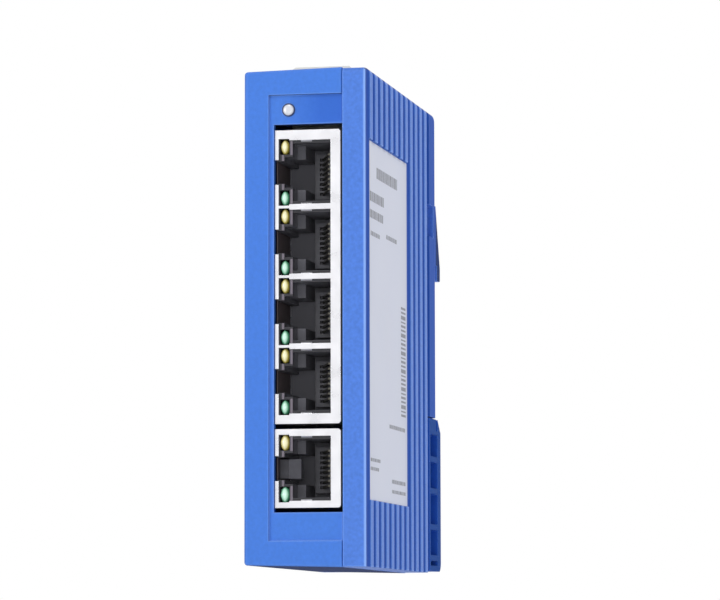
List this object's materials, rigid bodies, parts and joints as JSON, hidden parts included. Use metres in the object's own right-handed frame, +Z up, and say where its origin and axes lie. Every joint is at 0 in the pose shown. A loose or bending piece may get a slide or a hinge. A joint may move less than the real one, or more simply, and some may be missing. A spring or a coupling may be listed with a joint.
{
  "type": "din rail ethernet switch",
  "caption": "Slim upright plastic housing with a ribbed side cover, a column of network jacks in front, a plug-in supply terminal on top, a rail hook and a sprung rail latch behind.",
  "frame": {"origin": "middle of the rail seat, on the rail's centre line", "axes": "+X across the housing towards the ribbed cover, +Y from the front towards the rail, +Z up"},
  "size_m": [0.026, 0.079, 0.106],
  "materials": {
    "housing_blue": "fine spark-eroded moulding",
    "label": "matt silver film",
    "steel": "zinc plated",
    "clear_plastic": "clear moulded",
    "lamp_white": "moulded",
    "plated_sheet": "bright tin plated sheet",
    "black_plastic": "moulded",
    "board_green": "solder mask",
    "ceramic": "fired",
    "ferrite": "sintered",
    "can_aluminium": "drawn",
    "brass": "tin plated",
    "contact_gold": "gold flash",
    "terminal_plastic": "moulded",
    "lamp_yellow": "tinted diffuse",
    "lamp_green": "tinted diffuse"
  },
  "bodies": {
    "housing": {"body_shell": "housing_blue", "side_cover": "housing_blue", "rating_label": "label", "latch_spring": "steel", "status_light_guide": "clear_plastic", "status_led": "lamp_white", "port_block_shield": "plated_sheet", "port_block_housing": "black_plastic", "port_5_shield": "plated_sheet", "port_5_housing": "black_plastic", "circuit_board": "board_green", "board_screws": "steel", "switch_chip": "black_plastic", "regulator_chip": "black_plastic", "crystal": "steel", "input_fuse": "ceramic", "input_diode": "black_plastic", "power_inductor": "ferrite", "input_capacitor": "can_aluminium", "output_capacitor": "can_aluminium", "power_header": "black_plastic", "power_header_pins": "brass", "power_plug": "terminal_plastic", "power_plug_clamps": "brass", "power_plug_screws": "steel", "transformer_1": "black_plastic", "transformer_2": "black_plastic", "transformer_3": "black_plastic", "port_1_contact_carrier": "black_plastic", "port_1_contacts": "contact_gold", "port_1_led_yellow": "lamp_yellow", "port_1_led_green": "lamp_green", "port_2_contact_carrier": "black_plastic", "port_2_contacts": "contact_gold", "port_2_led_yellow": "lamp_yellow", "port_2_led_green": "lamp_green", "port_3_contact_carrier": "black_plastic", "port_3_contacts": "contact_gold", "port_3_led_yellow": "lamp_yellow", "port_3_led_green": "lamp_green", "port_4_contact_carrier": "black_plastic", "port_4_contacts": "contact_gold", "port_4_led_yellow": "lamp_yellow", "port_4_led_green": "lamp_green", "port_5_contact_carrier": "black_plastic", "port_5_contacts": "contact_gold", "port_5_led_yellow": "lamp_yellow", "port_5_led_green": "lamp_green"},
    "latch": {"rail_latch": "housing_blue"}
  },
  "joints": [
    {"name": "latch_slide", "type": "slide", "parent": "housing", "child": "latch", "axis": [0, 0, -1], "range_m": [0, 0.003], "stiffness_N_per_m": 2000, "springref_m": -0.003, "deforming": ["latch_spring"]}
  ]
}
